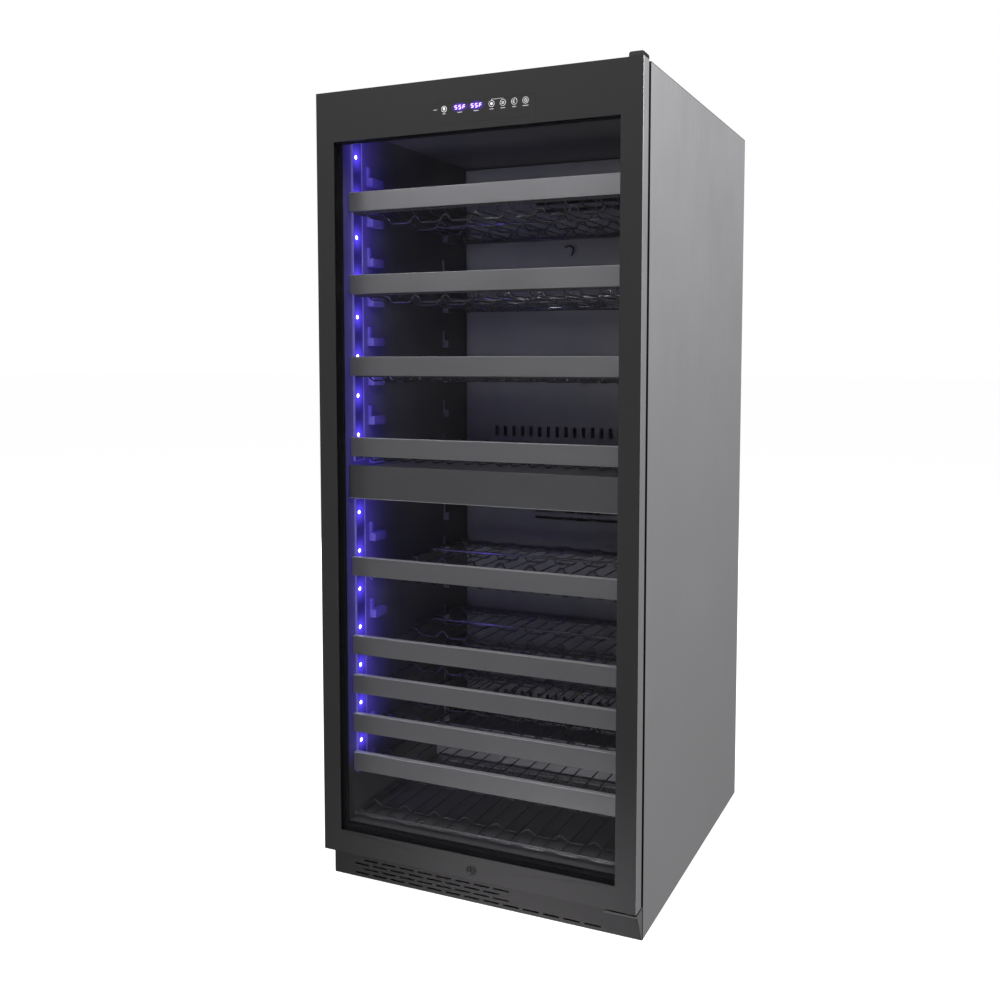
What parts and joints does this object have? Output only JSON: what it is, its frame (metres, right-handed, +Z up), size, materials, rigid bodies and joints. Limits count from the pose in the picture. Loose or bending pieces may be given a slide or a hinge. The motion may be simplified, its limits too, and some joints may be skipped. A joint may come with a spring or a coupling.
{
  "type": "wine cooler",
  "caption": "Tall free-standing dual-zone wine cooler: right-hinged glass door in a dark steel frame, sliding wire shelves with steel fronts, touch panel, violet lights, kick grille.",
  "frame": {"origin": "centre of the footprint at floor level, the door and its lock nose included", "axes": "+Z up, +X to the right seen from the front, the door faces -Y"},
  "size_m": [0.595, 0.72, 1.433],
  "materials": {
    "shell_grey": "satin",
    "zinc_sheet": "satin",
    "foam": "matte",
    "liner_black": "matte",
    "duct_grey": "matte",
    "trim_steel": "satin",
    "black_steel": "satin",
    "touch_panel": "gloss",
    "black_plastic": "matte",
    "fan_plastic": "matte",
    "door_glass": "gloss",
    "spacer_black": "matte",
    "gasket_rubber": "matte",
    "lock_steel": "polished",
    "hinge_steel": "satin",
    "led_violet": "gloss",
    "fin_aluminium": "satin",
    "condenser_metal": "satin",
    "compressor_black": "satin",
    "rack_wire": "satin"
  },
  "bodies": {
    "cabinet": {"air_duct_lower": "duct_grey", "air_duct_upper": "duct_grey", "back_panel": "zinc_sheet", "base_pan": "zinc_sheet", "bottom_rack": "rack_wire", "compressor": "compressor_black", "compressor_cover": "zinc_sheet", "condenser": "condenser_metal", "condenser_fan_frame": "black_plastic", "drip_tray": "black_plastic", "evaporator_lower": "fin_aluminium", "evaporator_upper": "fin_aluminium", "foam_insulation": "foam", "foot_front_left": "black_plastic", "foot_front_right": "black_plastic", "foot_rear_left": "black_plastic", "foot_rear_right": "black_plastic", "hinge_bracket_bottom": "hinge_steel", "hinge_bracket_top": "hinge_steel", "hinge_cover": "black_plastic", "kick_plate": "black_steel", "led_strip_lower": "led_violet", "led_strip_upper": "led_violet", "liner_lower": "liner_black", "liner_upper": "liner_black", "power_box": "black_plastic", "side_panel_left": "shell_grey", "side_panel_right": "shell_grey", "top_panel": "shell_grey", "zone_divider_trim": "trim_steel"},
    "door": {"door_frame": "black_steel", "door_inner_frame": "black_plastic", "glass_outer": "door_glass", "glass_inner": "door_glass", "glass_spacer": "spacer_black", "door_gasket": "gasket_rubber", "control_panel": "touch_panel", "lock_housing": "lock_steel"},
    "lock": {"lock_barrel": "lock_steel"},
    "fan_upper": {"fan_upper": "fan_plastic"},
    "fan_lower": {"fan_lower": "fan_plastic"},
    "condenser_fan": {"condenser_fan": "fan_plastic"},
    "shelf_1": {"shelf_1_front": "trim_steel", "shelf_1_rack": "rack_wire"},
    "shelf_2": {"shelf_2_front": "trim_steel", "shelf_2_rack": "rack_wire"},
    "shelf_3": {"shelf_3_front": "trim_steel", "shelf_3_rack": "rack_wire"},
    "shelf_4": {"shelf_4_front": "trim_steel", "shelf_4_rack": "rack_wire"},
    "shelf_5": {"shelf_5_front": "trim_steel", "shelf_5_rack": "rack_wire"},
    "shelf_6": {"shelf_6_front": "trim_steel", "shelf_6_rack": "rack_wire"},
    "shelf_7": {"shelf_7_front": "trim_steel", "shelf_7_rack": "rack_wire"},
    "shelf_8": {"shelf_8_front": "trim_steel", "shelf_8_rack": "rack_wire"},
    "shelf_9": {"shelf_9_front": "trim_steel", "shelf_9_rack": "rack_wire"}
  },
  "joints": [
    {"name": "door_hinge", "type": "hinge", "parent": "cabinet", "child": "door", "pos_m": [0.283, -0.344, 0.747], "axis": [0, 0, 1], "range_deg": [0, 105]},
    {"name": "lock_turn", "type": "hinge", "parent": "door", "child": "lock", "pos_m": [0.002, -0.345, 0.087], "axis": [0, 1, 0], "range_deg": [0, 90]},
    {"name": "fan_upper_spin", "type": "hinge", "parent": "cabinet", "child": "fan_upper", "pos_m": [0, 0.19, 1.305], "axis": [0, 1, 0], "continuous": true},
    {"name": "fan_lower_spin", "type": "hinge", "parent": "cabinet", "child": "fan_lower", "pos_m": [0, 0.19, 0.655], "axis": [0, 1, 0], "continuous": true},
    {"name": "condenser_fan_spin", "type": "hinge", "parent": "cabinet", "child": "condenser_fan", "pos_m": [-0.115, 0.128, 0.079], "axis": [0, 1, 0], "continuous": true},
    {"name": "shelf_1_slide", "type": "slide", "parent": "cabinet", "child": "shelf_1", "axis": [0, -1, 0], "range_m": [0, 0.02]},
    {"name": "shelf_2_slide", "type": "slide", "parent": "cabinet", "child": "shelf_2", "axis": [0, -1, 0], "range_m": [0, 0.02]},
    {"name": "shelf_3_slide", "type": "slide", "parent": "cabinet", "child": "shelf_3", "axis": [0, -1, 0], "range_m": [0, 0.02]},
    {"name": "shelf_4_slide", "type": "slide", "parent": "cabinet", "child": "shelf_4", "axis": [0, -1, 0], "range_m": [0, 0.02]},
    {"name": "shelf_5_slide", "type": "slide", "parent": "cabinet", "child": "shelf_5", "axis": [0, -1, 0], "range_m": [0, 0.02]},
    {"name": "shelf_6_slide", "type": "slide", "parent": "cabinet", "child": "shelf_6", "axis": [0, -1, 0], "range_m": [0, 0.02]},
    {"name": "shelf_7_slide", "type": "slide", "parent": "cabinet", "child": "shelf_7", "axis": [0, -1, 0], "range_m": [0, 0.02]},
    {"name": "shelf_8_slide", "type": "slide", "parent": "cabinet", "child": "shelf_8", "axis": [0, -1, 0], "range_m": [0, 0.02]},
    {"name": "shelf_9_slide", "type": "slide", "parent": "cabinet", "child": "shelf_9", "axis": [0, -1, 0], "range_m": [0, 0.02]}
  ]
}
